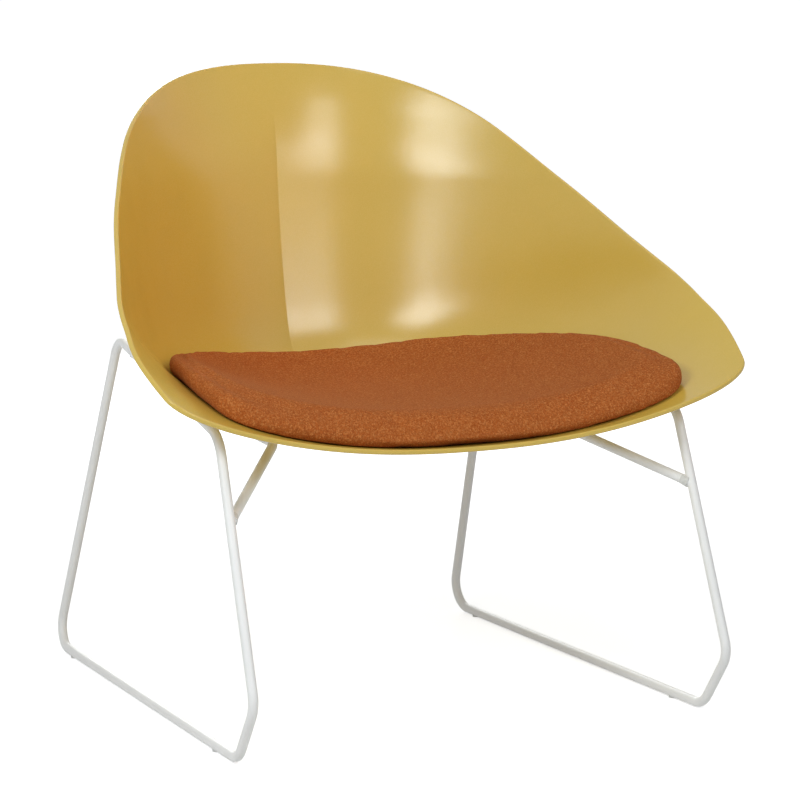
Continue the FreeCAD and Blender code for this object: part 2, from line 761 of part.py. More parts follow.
def pad_section(setback):
    """A closed outline of arcs across the pad: crowned above, on the seat below, with sides that bulge."""
    y = setback - d.origin_setback
    fullness = pad_fullness(setback)
    bulge = d.pad_edge_bulge * (PAD_LEAST_BULGE + (1 - PAD_LEAST_BULGE) * fullness)
    low_half = pad_half_width(setback) - bulge
    high_half = low_half - bulge
    edge_thickness = d.pad_edge_thickness * fullness
    crown_thickness = (d.pad_thickness - d.pad_edge_thickness) * fullness

    def below(x):
        spot, normal = seat_spot(x, setback)
        return Vector(x, y, spot.z + d.pad_clearance / normal.z)

    def above(x):
        crown = crown_thickness * (1 - abs(x / high_half) ** PAD_CROWN_POWER)
        return below(x) + Vector(0, 0, edge_thickness + crown)

    low = [below(low_half * stop) for stop in PAD_STOPS]
    high = [above(high_half * stop) for stop in PAD_STOPS]
    right_side = Vector(pad_half_width(setback), y, (low[-1].z + high[-1].z) / 2)
    left_side = Vector(-right_side.x, y, right_side.z)
    edges = [Part.Arc(low[n], low[n + 1], low[n + 2]).toShape() for n in (0, 2, 4)]
    edges.append(Part.Arc(low[-1], right_side, high[-1]).toShape())
    edges += [Part.Arc(high[n], high[n - 1], high[n - 2]).toShape() for n in (6, 4, 2)]
    edges.append(Part.Arc(high[0], left_side, low[0]).toShape())
    return Part.Wire(edges)


pad_sections = []
for step in range(PAD_SECTIONS):
    share = (1 - math.cos(math.pi * (step + 0.5) / PAD_SECTIONS)) / 2
    outline = pad_section(d.pad_front_setback + (d.pad_rear_setback - d.pad_front_setback) * share)
    pad_sections.append(feature("pad_section_%d" % step, outline))
pad = doc.addObject("Part::Loft", "pad_loft")
pad.Sections = pad_sections
pad.Solid = True
pad.Ruled = True
node("seat_pad", pad)

hooks = []
loops = []
for side_name, side in SIDES.items():
    for place, setback in (("front", d.patch_front_setback), ("rear", d.patch_rear_setback)):
        tag = "%s_%s" % (place, side_name)
        spot, normal = seat_spot(side * d.patch_half_spacing, setback)
        hook = bound("Cylinder", "hook_disc_" + tag, aim(spot - normal * d.patch_thickness, normal),
                     Radius="sizes.patch_diameter / 2", Height="2 * sizes.patch_thickness")
        hooks.append(boolean("Cut", "hook_patch_" + tag, hook, whole_shell))
        loop_base = spot + normal * (d.patch_thickness + d.patch_gap)
        loop = bound("Cylinder", "loop_disc_" + tag, aim(loop_base, normal),
                     Radius="sizes.patch_diameter / 2", Height="2 * sizes.pad_clearance")
        loops.append(boolean("Cut", "loop_patch_" + tag, loop, pad))
node("hook_patches", compound("hook_group", hooks))
node("loop_patches", compound("loop_group", loops))
doc.recompute()


# Every object is sound before anything is written

for thing in doc.Objects:
    broken = {"Invalid", "Error"} & set(thing.State)
    if broken:
        raise RuntimeError("%s is %s" % (thing.Name, broken))
for label, thing in NODES.items():
    if thing.Shape.isNull() or not thing.Shape.isValid():
        raise RuntimeError("%s has no sound shape" % label)

os.makedirs("parts", exist_ok=True)
for label, thing in NODES.items():
    thing.Shape.exportStep("parts/%s.step" % label)
    print("%s: %d solids, %.0f mm3" % (label, len(thing.Shape.Solids), thing.Shape.Volume))
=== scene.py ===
import math

import bmesh
import bpy
import numpy as np
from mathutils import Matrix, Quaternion, Vector


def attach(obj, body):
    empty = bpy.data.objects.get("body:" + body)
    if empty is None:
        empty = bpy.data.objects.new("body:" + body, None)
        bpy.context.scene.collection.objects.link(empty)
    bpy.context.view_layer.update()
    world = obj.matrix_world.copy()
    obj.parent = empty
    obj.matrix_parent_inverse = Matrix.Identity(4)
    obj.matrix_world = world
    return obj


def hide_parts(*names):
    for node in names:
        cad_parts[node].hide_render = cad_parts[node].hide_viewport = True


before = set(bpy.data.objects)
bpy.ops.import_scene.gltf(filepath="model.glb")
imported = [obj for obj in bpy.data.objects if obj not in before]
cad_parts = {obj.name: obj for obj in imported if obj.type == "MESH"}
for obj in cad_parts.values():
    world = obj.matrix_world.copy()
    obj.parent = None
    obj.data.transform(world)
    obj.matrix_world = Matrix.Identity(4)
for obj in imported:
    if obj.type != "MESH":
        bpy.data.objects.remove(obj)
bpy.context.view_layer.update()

scene = bpy.context.scene
MM = 0.001

# Shell surface, in millimetres, with the same stations as the solid:
# setback from the front foot, height above the floor, and climb of the section at the gauge half width
ORIGIN_SETBACK = 295.8
STATIONS = (
    (-45, 350.3, 37),
    (7, 344.8, 60),
    (200, 332.8, 141.5),
    (340, 328.8, 225.5),
    (440, 333.3, 289),
    (507, 354.3, 329.5),
    (547, 396.3, 349),
    (569, 463.3, 347.5),
    (590, 597.8, 321),
    (602, 689.8, 308),
    (627, 762.9, 322.5),
    (655, 828.3, 352),
)
LIP_SETBACK = 7
CROWN = np.array((627 - ORIGIN_SETBACK, 762.9))
FAN = np.array((-10 - ORIGIN_SETBACK, 626.8))
WALL = 6
SECTION_POWER = 2.3
GAUGE_HALF = 360
BLANK_HALF = 415
CREASE_DEPTH = 9
CREASE_SPREAD = 40
CREASE_START = 340 - ORIGIN_SETBACK
CREASE_FULL = 547 - ORIGIN_SETBACK
CREASE_FADE = 608.3
CREASE_END = 708.3
SEAT_END = 0.8
RIM_CORNER_HEIGHT = 409.3
RIM_CORNER_RADIUS = 50
RIM_FRONT_INCLINE = 30.5
RIM_FLANK = np.array((172.5 - ORIGIN_SETBACK, 502.8))
RIM_SHOULDER = np.array((462 - ORIGIN_SETBACK, 679.5))
# A small step for slopes, and the halvings of a search
NUDGE = 1e-3
HALVINGS = 44


def smooth(value, start, end):
    share = np.clip((value - start) / (end - start), 0, 1)
    return share * share * (3 - 2 * share)


class Spline:
    """A smooth curve through points, spaced by their distances apart."""

    def __init__(self, points):
        self.points = np.array(points, float)
        gaps = np.linalg.norm(np.diff(self.points, axis=0), axis=1)
        self.knots = np.concatenate(([0], np.cumsum(gaps))) / gaps.sum()
        step = np.diff(self.knots)
        slope = np.diff(self.points, axis=0) / step[:, None]
        count = len(points)
        system = np.zeros((count, count))
        target = np.zeros(self.points.shape)
        for i in range(1, count - 1):
            system[i, i - 1:i + 2] = step[i - 1], 2 * (step[i - 1] + step[i]), step[i]
            target[i] = 6 * (slope[i] - slope[i - 1])
        system[0, :3] = -step[1], step[0] + step[1], -step[0]
        system[-1, -3:] = -step[-1], step[-2] + step[-1], -step[-2]
        self.bends = np.linalg.solve(system, target)

    def __call__(self, at):
        at = np.asarray(at, float)
        i = np.clip(np.searchsorted(self.knots, at, side="right") - 1, 0, len(self.knots) - 2)
        step = (self.knots[i + 1] - self.knots[i])[..., None]
        ahead = (at - self.knots[i])[..., None]
        behind = step - ahead
        curved = (self.bends[i] * behind ** 3 + self.bends[i + 1] * ahead ** 3) / (6 * step)
        start = self.points[i] / step - self.bends[i] * step / 6
        end = self.points[i + 1] / step - self.bends[i + 1] * step / 6
        return curved + start * behind + end * ahead


middle_line = Spline([(climb, setback - ORIGIN_SETBACK, height) for setback, height, climb in STATIONS])


def inner_point(along, half):
    """Points of the shell's inner face: a share along the middle line, and a half width."""
    along, half = np.broadcast_arrays(np.asarray(along, float), np.asarray(half, float))
    middle = middle_line(along)
    spine = middle[..., 1:]
    crease = smooth(spine[..., 0], CREASE_START, CREASE_FULL)
    crease = crease * (1 - smooth(spine[..., 1], CREASE_FADE, CREASE_END))
    crease = crease * CREASE_DEPTH * (1 - np.exp(-half / CREASE_SPREAD))
    rise = middle[..., 0] * (half / GAUGE_HALF) ** SECTION_POWER + crease
    way = FAN - spine
    way = way / np.linalg.norm(way, axis=-1, keepdims=True)
    side = spine + way * rise[..., None]
    return np.concatenate((half[..., None], side), axis=-1)


def wall_normal(along, half):
    """The direction from the inner face to the outer face."""
    ahead = inner_point(along + NUDGE, half) - inner_point(along - NUDGE, half)
    across = inner_point(along, half + NUDGE) - inner_point(along, half)
    normal = np.cross(across, ahead)
    normal = normal / np.linalg.norm(normal, axis=-1, keepdims=True)
    away = inner_point(along, half) - np.concatenate(((0,), FAN))
    return normal * np.sign((normal * away).sum(-1, keepdims=True))


def outer_point(along, half):
    """Points of the shell's outer face, with the two halves meeting in the middle plane."""
    normal = wall_normal(along, half)
    middle = (np.asarray(half) == 0)[..., None]
    flat = normal * np.array((0, 1, 1))
    flat = flat / np.linalg.norm(flat, axis=-1, keepdims=True)
    reach = WALL / (flat * normal).sum(-1, keepdims=True)
    return inner_point(along, half) + np.where(middle, flat * reach, normal * WALL)


def solve(rising, target, low, high):
    """The places between low and high where a rising function reaches its targets."""
    low = np.full(np.shape(target), float(low))
    high = np.full(np.shape(target), float(high))
    for _ in range(HALVINGS):
        middle = (low + high) / 2
        short = rising(middle) < target
        low = np.where(short, middle, low)
        high = np.where(short, high, middle)
    return low


def along_at(half, y):
    """The share along the middle line where the inner face reaches y at a half width."""
    half, y = np.broadcast_arrays(np.asarray(half, float), np.asarray(y, float))
    return solve(lambda along: inner_point(along, half)[..., 1], y, 0, SEAT_END)


def seat_height(x, y):
    """Height of the inner face above a place on the seat."""
    half = np.abs(x)
    return inner_point(along_at(half, y), half)[..., 2]


def tangent_arc(start, heading, end, count):
    """Points of an arc that leaves start along heading and reaches end, and its heading there."""
    chord = end - start
    length = np.linalg.norm(chord)
    along = chord / length
    inward = chord - heading * chord.dot(heading)
    inward = inward / np.linalg.norm(inward)
    radius = length ** 2 / (2 * chord.dot(inward))
    turn = 2 * math.acos(heading.dot(along))
    angles = np.linspace(0, turn, count + 1)[:, None]
    points = start + radius * (inward * (1 - np.cos(angles)) + heading * np.sin(angles))
    return points, along * (2 * heading.dot(along)) - heading


def rim_place(spots):
    """Shares along the middle line and half widths of the inner face's points at side view spots."""
    def turn(at):
        return np.arctan2(at[..., 0] - FAN[0], FAN[1] - at[..., 1])

    along = solve(lambda share: turn(inner_point(share, 0 * share)[..., 1:]), turn(spots), 0, 1)
    spine = inner_point(along, 0 * along)[..., 1:]
    rise = np.linalg.norm(spots - spine, axis=-1)

    def climbed(half):
        return np.linalg.norm(inner_point(along, half)[..., 1:] - spine, axis=-1)

    return along, solve(climbed, rise, 0, BLANK_HALF)


ARC_STEPS = 60
# The crown's arc is drawn so much finer before it is thinned out towards the middle
CROWN_FINENESS = 40


def rim_runs():
    """The rim in three runs of (share, half), met at the front corner and at the shoulder."""
    incline = math.radians(RIM_FRONT_INCLINE)
    ahead = np.array((math.cos(incline), math.sin(incline)))
    corner = np.array((LIP_SETBACK - ORIGIN_SETBACK, RIM_CORNER_HEIGHT))
    reach = RIM_CORNER_RADIUS * math.tan((math.pi / 2 - incline) / 2)
    up = np.array((0.0, 1.0))
    corner_arc, _ = tangent_arc(corner - up * reach, up, corner + ahead * reach, ARC_STEPS)
    front_arc, heading = tangent_arc(corner + ahead * reach, ahead, RIM_FLANK, ARC_STEPS)
    flank_arc, heading = tangent_arc(RIM_FLANK, heading, RIM_SHOULDER, ARC_STEPS)
    crown_arc, _ = tangent_arc(RIM_SHOULDER, heading, CROWN, ARC_STEPS * CROWN_FINENESS)
    fall = 1 - np.linspace(1, 0, ARC_STEPS * 2 + 1) ** 2
    crown_arc = crown_arc[np.round(fall * ARC_STEPS * CROWN_FINENESS).astype(int)]

    corner_places = np.stack(rim_place(corner_arc), axis=-1)
    lip_half = np.linspace(0, corner_places[0, 1], ARC_STEPS + 1)
    lip_places = np.stack((along_at(lip_half, LIP_SETBACK - ORIGIN_SETBACK), lip_half), axis=-1)
    front_places = np.stack(rim_place(front_arc), axis=-1)
    flank_places = np.stack(rim_place(flank_arc), axis=-1)
    crown_places = np.stack(rim_place(crown_arc), axis=-1)
    crown_places[-1, 1] = 0
    turn = ARC_STEPS // 2
    return (
        np.concatenate((lip_places[:-1], corner_places[:turn + 1])),
        np.concatenate((corner_places[turn:-1], front_places[:-1], flank_places)),
        crown_places,
    )


def along_run(places, shares):
    """Places of a run at shares of its length on the inner face."""
    spots = inner_point(places[:, 0], places[:, 1])
    lengths = np.concatenate(([0], np.cumsum(np.linalg.norm(np.diff(spots, axis=0), axis=1))))
    at = shares * lengths[-1]
    return np.stack([np.interp(at, lengths, places[:, n]) for n in (0, 1)], axis=-1)


# The shell's mesh, over one half
COLUMNS = 72
ROWS = 128
SPINE_STEPS = 400
MERGE_DISTANCE = 0.001
# Columns are closer together near the valley crease
COLUMN_CROWDING = 1.5
# The rim's section: a rounded bead across the wall, standing so far past the faces
BEAD_HEIGHT = 2.3
BEAD_POWER = 2.7
BEAD_STEPS = 10


def drawn_in(places):
    """The rim's places moved in from the edge by the bead's height, and the directions out to the edge."""
    along = places[:, 0]
    half = places[:, 1]
    middles = (inner_point(along, half) + outer_point(along, half)) / 2
    run = np.gradient(middles, axis=0)
    run[0] = (1, 0, 0)
    run[-1] = (-1, 0, 0)
    normals = wall_normal(along, half)
    normals[0, 0] = 0
    normals[-1, 0] = 0
    out = np.cross(normals, run)
    out = out / np.linalg.norm(out, axis=1, keepdims=True)
    moved = places.copy()
    for i in range(len(places)):
        a, h = places[i]
        less = max(h - NUDGE, 0)
        by_along = (inner_point(a + NUDGE, h) - inner_point(a - NUDGE, h)) / (2 * NUDGE)
        by_half = (inner_point(a, h + NUDGE) - inner_point(a, less)) / (h + NUDGE - less)
        slopes = np.stack((by_along, by_half), axis=1)
        shift, *_ = np.linalg.lstsq(slopes, -out[i] * BEAD_HEIGHT, rcond=None)
        moved[i] += shift
    moved[0, 1] = 0
    moved[-1, 1] = 0
    return moved, out


def new_object(name, mesh, body):
    """A smooth shaded piece that rides on a body."""
    for face in mesh.polygons:
        face.use_smooth = True
    thing = bpy.data.objects.new(name, mesh)
    scene.collection.objects.link(thing)
    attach(thing, body)
    return thing


def lathe(bm, centre, profile, steps):
    """A closed turned form about a vertical line, from (radius, height) pairs."""
    rings = []
    for radius, height in profile:
        if radius == 0:
            rings.append([bm.verts.new((centre[0], centre[1], height))])
            continue
        ring = []
        for step in range(steps):
            turn = 2 * math.pi * step / steps
            ring.append(bm.verts.new((centre[0] + radius * math.cos(turn),
                                      centre[1] + radius * math.sin(turn), height)))
        rings.append(ring)
    for low, high in zip(rings, rings[1:]):
        for step in range(steps):
            ahead = (step + 1) % steps
            corners = [low[step % len(low)], low[ahead % len(low)]]
            corners += [high[ahead % len(high)], high[step % len(high)]]
            bm.faces.new(list(dict.fromkeys(corners)))


# Bosses under the shell, on the straps, each with a pocket for its insert
BOSS_RADIUS = 9
BOSS_STEPS = 40
# The boss's outline at its foot and its root: (past the radius, above the flat foot or the shell's underside)
BOSS_FOOT = ((-0.6, 0), (-0.15, 0.2), (0, 0.7))
BOSS_ROOT = ((0, -2.5), (0.5, -1), (1.6, 0.2), (1.6, 3))
POCKET_RADIUS = 4.3
POCKET_DEPTH = 10
POCKET_CHAMFER = 0.4
BOSS_X = 74
STRAP_SETBACKS = (240, 335)
STRAP_WIDTH = 30
STRAP_CLEARANCE = 1.5


def shell_mesh():
    """The whole shell: both faces, the rim's bead between them, and the bosses."""
    shares = np.linspace(0, 1, COLUMNS + 1) ** COLUMN_CROWDING
    rows = np.linspace(0, 1, ROWS + 1)
    front_run, side_run, crown_run = rim_runs()
    rim = np.concatenate((
        along_run(front_run, shares)[:-1],
        along_run(side_run, rows)[:-1],
        along_run(crown_run[::-1], shares)[::-1],
    ))
    edge, out = drawn_in(rim)
    front = edge[:COLUMNS + 1]
    side = edge[COLUMNS:COLUMNS + ROWS + 1]
    crown = edge[COLUMNS + ROWS:][::-1]
    spine = np.linspace(front[0, 0], crown[0, 0], SPINE_STEPS)
    spine_run = np.stack((spine, np.zeros(SPINE_STEPS)), axis=-1)
    middle = along_run(spine_run, rows)

    # A grid stretched between the middle line and the rim's three runs
    u = shares[:, None, None]
    v = rows[None, :, None]
    grid = (1 - u) * middle[None] + u * side[None] + (1 - v) * front[:, None] + v * crown[:, None]
    grid = grid - (1 - u) * (1 - v) * front[0] - u * (1 - v) * front[-1]
    grid = grid - (1 - u) * v * crown[0] - u * v * crown[-1]
    grid[0, :, 1] = 0
    inner = inner_point(grid[..., 0], grid[..., 1])
    outer = outer_point(grid[..., 0], grid[..., 1])

    ring = [(i, 0) for i in range(COLUMNS)]
    ring += [(COLUMNS, j) for j in range(ROWS)]
    ring += [(i, ROWS) for i in range(COLUMNS, -1, -1)]
    turns = np.linspace(-math.pi / 2, math.pi / 2, BEAD_STEPS + 1)[1:-1]
    across = np.sign(np.sin(turns)) * np.abs(np.sin(turns)) ** (2 / BEAD_POWER)
    height = np.abs(np.cos(turns)) ** (2 / BEAD_POWER) * BEAD_HEIGHT

    bm = bmesh.new()
    for side_sign in (1, -1):
        flip = np.array((side_sign, 1, 1))
        in_verts = [[bm.verts.new(inner[i, j] * flip) for j in range(ROWS + 1)] for i in range(COLUMNS + 1)]
        out_verts = [[bm.verts.new(outer[i, j] * flip) for j in range(ROWS + 1)] for i in range(COLUMNS + 1)]
        for sheet in (in_verts, out_verts):
            for i in range(COLUMNS):
                for j in range(ROWS):
                    bm.faces.new((sheet[i][j], sheet[i + 1][j], sheet[i + 1][j + 1], sheet[i][j + 1]))
        bead = []
        for (i, j), way in zip(ring, out):
            centre = (inner[i, j] + outer[i, j]) / 2
            reach = (outer[i, j] - inner[i, j]) / 2
            places = [centre + reach * a + way * h for a, h in zip(across, height)]
            bead.append([in_verts[i][j]] + [bm.verts.new(at * flip) for at in places] + [out_verts[i][j]])
        for before, after in zip(bead, bead[1:]):
            for n in range(len(before) - 1):
                bm.faces.new((before[n], after[n], after[n + 1], before[n + 1]))
    bmesh.ops.remove_doubles(bm, verts=bm.verts, dist=MERGE_DISTANCE)

    for setback in STRAP_SETBACKS:
        y = setback - ORIGIN_SETBACK
        strap_edges = y + np.array((-1, 1)) * STRAP_WIDTH / 2
        flat_foot = seat_height(np.zeros(2), strap_edges).min() - WALL - STRAP_CLEARANCE
        for x in (-BOSS_X, BOSS_X):
            under = float(seat_height(np.array([x]), np.array([y]))[0]) - WALL
            lathe(bm, (x, y), (
                (0, flat_foot + POCKET_DEPTH),
                (POCKET_RADIUS, flat_foot + POCKET_DEPTH),
                (POCKET_RADIUS, flat_foot + POCKET_CHAMFER),
                (POCKET_RADIUS + POCKET_CHAMFER, flat_foot),
                *((BOSS_RADIUS + past, flat_foot + above) for past, above in BOSS_FOOT),
                *((BOSS_RADIUS + past, under + above) for past, above in BOSS_ROOT),
                (0, under + BOSS_ROOT[-1][1]),
            ), BOSS_STEPS)
    bmesh.ops.recalc_face_normals(bm, faces=bm.faces)
    bmesh.ops.scale(bm, vec=(MM, MM, MM), verts=bm.verts)
    mesh = bpy.data.meshes.new("moulded_shell")
    bm.to_mesh(mesh)
    bm.free()
    return mesh


shell = new_object("moulded_shell", shell_mesh(), "chair")
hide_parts("seat_shell")


# Seat pad: a form laid on the shell, whose skin the filling then swells

# Setbacks of its front, its rear and its widest section, and its half width there
PAD_FRONT = 15
PAD_REAR = 515
PAD_WIDE = 90
PAD_HALF = 301
# How blunt its outline is in front and at the rear
PAD_FRONT_POWER = 5
PAD_FRONT_BOW = 3.1
PAD_REAR_POWER = 1.97
PAD_REAR_BOW = 2.35
PAD_THICKNESS = 38
PAD_FRONT_EDGE_THICKNESS = 36
PAD_REAR_EDGE_THICKNESS = 24
PAD_CROWN_POWER = 3
PAD_SIDE_ROUND = 13
# The pad's edge is widest at this share of its thickness
PAD_EDGE_LEVEL = 0.2
PAD_FRONT_ROUND = 50
PAD_REAR_ROUND = 18
PAD_CLEARANCE = 2.6
# The pad's top bridges the valley crease this far to each side
PAD_BRIDGE = 70
# How far the pad's skin starts outside its edges, under its top and over its bed, before the filling moves it
PAD_OUTSET = 3.5
PAD_HOLLOW = 2
PAD_LIFT = 1
PAD_LEAST_CLEARANCE = 1.2
PAD_LEAST_THICKNESS = 6
PAD_SECTIONS = 120
PAD_AROUND = 120
PAD_VOXEL = 4.5
EVEN_SHARE = 0.5
EVEN_ROUNDS = 8
FILLING = {
    "quality": 6,
    "mass": 0.35,
    "tension_stiffness": 18,
    "compression_stiffness": 18,
    "shear_stiffness": 8,
    "bending_stiffness": 1.2,
    "use_pressure": True,
    "uniform_pressure_force": 4,
}
FILLING_STEPS = 20
SWELL_LIMIT = 5


def pad_half_width(setback):
    """The pad's outline: blunt in front of its widest section, oval behind it."""
    front = np.clip((PAD_WIDE - setback) / (PAD_WIDE - PAD_FRONT), 0, 1)
    rear = np.clip((setback - PAD_WIDE) / (PAD_REAR - PAD_WIDE), 0, 1)
    blunt = (1 - front ** PAD_FRONT_POWER) ** (1 / PAD_FRONT_BOW)
    oval = (1 - rear ** PAD_REAR_POWER) ** (1 / PAD_REAR_BOW)
    return PAD_HALF * np.where(setback < PAD_WIDE, blunt, oval)


def pad_fullness(setback):
    """The share of the full thickness, which falls to nothing at the front and the rear."""
    near_front = np.clip((setback - PAD_FRONT) / PAD_FRONT_ROUND, 0, 1)
    near_rear = np.clip((PAD_REAR - setback) / PAD_REAR_ROUND, 0, 1)
    return np.sqrt(1 - (1 - near_front) ** 2) * np.sqrt(1 - (1 - near_rear) ** 2)


def bridged(x):
    """Half widths with the turn at the middle rounded off."""
    half = np.abs(x)
    return np.where(half < PAD_BRIDGE, (half ** 2 + PAD_BRIDGE ** 2) / (2 * PAD_BRIDGE), half)


def pad_mesh(outset, hollow, lift):
    """Closed sections across the pad, from front to rear."""
    share = (1 - np.cos(math.pi * (np.arange(PAD_SECTIONS) + 0.5) / PAD_SECTIONS)) / 2
    setback = PAD_FRONT + (PAD_REAR - PAD_FRONT) * share
    drawn = PAD_FRONT - outset + (PAD_REAR - PAD_FRONT + 2 * outset) * share
    half = pad_half_width(setback) + outset
    fullness = pad_fullness(setback)
    turn = 2 * math.pi * np.arange(PAD_AROUND) / PAD_AROUND
    x = np.sin(turn)[None] * half[:, None]
    y = np.repeat((drawn - ORIGIN_SETBACK)[:, None], PAD_AROUND, axis=1)
    place = np.abs(np.sin(turn))[None]
    near_side = np.clip((1 - place) * half[:, None] / PAD_SIDE_ROUND, 0, 1)
    side = np.sqrt(1 - (1 - near_side) ** 2)
    thinning = PAD_REAR_EDGE_THICKNESS - PAD_FRONT_EDGE_THICKNESS
    edge_thickness = PAD_FRONT_EDGE_THICKNESS + thinning * share[:, None]
    crown = (PAD_THICKNESS - edge_thickness) * (1 - place ** PAD_CROWN_POWER)
    thickness = (edge_thickness + crown) * fullness[:, None] - hollow - lift
    thickness = np.maximum(thickness, PAD_LEAST_THICKNESS)
    upper = np.cos(turn)[None] > 0
    bed = seat_height(x, y) + PAD_CLEARANCE + lift
    edge = bed + thickness * PAD_EDGE_LEVEL
    top = seat_height(bridged(x), y) + PAD_CLEARANCE + lift + thickness
    z = edge + np.where(upper, top - edge, bed - edge) * side
    bm = bmesh.new()
    rows = []
    for i in range(PAD_SECTIONS):
        rows.append([bm.verts.new((x[i, j], y[i, j], z[i, j])) for j in range(PAD_AROUND)])
    for before, after in zip(rows, rows[1:]):
        for j in range(PAD_AROUND):
            ahead = (j + 1) % PAD_AROUND
            bm.faces.new((before[j], before[ahead], after[ahead], after[j]))
    bm.faces.new(rows[0])
    bm.faces.new(rows[-1])
    bmesh.ops.recalc_face_normals(bm, faces=bm.faces)
    bmesh.ops.scale(bm, vec=(MM, MM, MM), verts=bm.verts)
    mesh = bpy.data.meshes.new("upholstered_pad")
    bm.to_mesh(mesh)
    bm.free()
    return mesh


def coordinates(mesh):
    spots = np.empty(len(mesh.vertices) * 3)
    mesh.vertices.foreach_get("co", spots)
    return spots.reshape(-1, 3)


def evaluated_mesh(thing):
    graph = bpy.context.evaluated_depsgraph_get()
    return bpy.data.meshes.new_from_object(thing.evaluated_get(graph))


def swollen(mesh):
    """The pad's skin blown up by its filling, each point held to the swell limit and off the shell."""
    thing = bpy.data.objects.new("pad_form", mesh)
    scene.collection.objects.link(thing)
    remesh = thing.modifiers.new("skin", "REMESH")
    remesh.mode = "VOXEL"
    remesh.voxel_size = PAD_VOXEL * MM
    even = thing.modifiers.new("even", "SMOOTH")
    even.factor = EVEN_SHARE
    even.iterations = EVEN_ROUNDS
    skin = evaluated_mesh(thing)
    thing.modifiers.clear()
    thing.data = skin
    start = coordinates(skin)
    moved = start
    cloth = thing.modifiers.new("filling", "CLOTH")
    for setting, value in FILLING.items():
        setattr(cloth.settings, setting, value)
    cloth.settings.effector_weights.gravity = 0
    cloth.collision_settings.use_collision = False
    cloth.point_cache.frame_start = 1
    cloth.point_cache.frame_end = FILLING_STEPS
    for step in range(1, FILLING_STEPS + 1):
        scene.frame_set(step)
    blown = evaluated_mesh(thing)
    moved = coordinates(blown)
    thing.modifiers.clear()
    scene.frame_set(1)
    bpy.data.meshes.remove(blown)
    shift = moved - start
    length = np.linalg.norm(shift, axis=1, keepdims=True)
    shift = shift * np.minimum(1, SWELL_LIMIT * MM / np.maximum(length, 1e-9))
    final = start + shift
    floor = (seat_height(final[:, 0] / MM, final[:, 1] / MM) + PAD_LEAST_CLEARANCE) * MM
    final[:, 2] = np.maximum(final[:, 2], floor)
    skin.vertices.foreach_set("co", final.ravel())
    skin.update()
    bpy.data.objects.remove(thing)
    return skin


start = ((PAD_OUTSET, PAD_HOLLOW, PAD_LIFT))
pad = new_object("upholstered_pad", swollen(pad_mesh(*start)), "pad")
fineness = pad.modifiers.new("fineness", "SUBSURF")
fineness.levels = 1
fineness.render_levels = 1
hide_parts("seat_pad")


# Materials

class Surface:
    """A material whose looks come from nodes in the object's own coordinates."""

    def __init__(self, name, **sockets):
        self.material = bpy.data.materials.new(name)
        self.material.use_nodes = True
        self.tree = self.material.node_tree
        self.shader = self.tree.nodes["Principled BSDF"]
        self.place = self.tree.nodes.new("ShaderNodeTexCoord").outputs["Object"]
        for socket, value in sockets.items():
            self.shader.inputs[socket.replace("_", " ")].default_value = value

    def link(self, source, target):
        self.tree.links.new(source, target)

    def stretched(self, scale):
        node = self.tree.nodes.new("ShaderNodeMapping")
        node.inputs["Scale"].default_value = scale
        self.link(self.place, node.inputs["Vector"])
        return node.outputs["Vector"]

    def noise(self, scale, detail=2, roughness=0.5, place=None, distortion=0):
        node = self.tree.nodes.new("ShaderNodeTexNoise")
        node.inputs["Scale"].default_value = scale
        node.inputs["Detail"].default_value = detail
        node.inputs["Roughness"].default_value = roughness
        node.inputs["Distortion"].default_value = distortion
        self.link(place or self.place, node.inputs["Vector"])
        return node.outputs["Fac"]

    def ramp(self, source, *stops):
        """Colours or levels by a source's value, from two pairs of position and colour."""
        node = self.tree.nodes.new("ShaderNodeValToRGB")
        for stop, (position, colour) in zip(node.color_ramp.elements, stops):
            stop.position = position
            stop.color = (*colour, 1) if isinstance(colour, tuple) else (colour, colour, colour, 1)
        self.link(source, node.inputs["Fac"])
        return node.outputs["Color"]

    def mix(self, share, base, over):
        """A base with a plain colour laid over it by a share."""
        node = self.tree.nodes.new("ShaderNodeMix")
        node.data_type = "RGBA"
        self.link(share, node.inputs["Factor"])
        self.link(base, node.inputs[6])
        node.inputs[7].default_value = (*over, 1)
        return node.outputs[2]

    def colour(self, source):
        self.link(source, self.shader.inputs["Base Color"])

    def gloss(self, source):
        self.link(source, self.shader.inputs["Roughness"])

    def relief(self, source, distance, strength, below=None):
        """Bump of so many metres for a source that runs from 0 to 1."""
        node = self.tree.nodes.new("ShaderNodeBump")
        node.inputs["Distance"].default_value = distance
        node.inputs["Strength"].default_value = strength
        self.link(source, node.inputs["Height"])
        if below:
            self.link(below, node.inputs["Normal"])
        self.link(node.outputs["Normal"], self.shader.inputs["Normal"])
        return node.outputs["Normal"]


def plastic_shell():
    s = Surface("moulded plastic", Specular_IOR_Level=0.62, IOR=1.49)
    cloudy = s.noise(7, detail=3, roughness=0.55)
    flecks = s.noise(900, detail=2, roughness=0.6)
    base = s.ramp(cloudy, (0.3, (0.605, 0.410, 0.057)), (0.7, (0.635, 0.434, 0.066)))
    s.colour(s.mix(s.ramp(flecks, (0.38, 0.0), (0.66, 0.30)), base, (0.72, 0.52, 0.13)))
    worn = s.noise(30, detail=4, roughness=0.6)
    s.gloss(s.ramp(worn, (0.3, 0.205), (0.75, 0.25)))
    grain = s.noise(800, detail=3, roughness=0.6)
    wave = s.noise(9, detail=1, roughness=0.4)
    low = s.relief(wave, distance=0.0012, strength=0.12)
    s.relief(grain, distance=0.00012, strength=0.6, below=low)
    return s.material


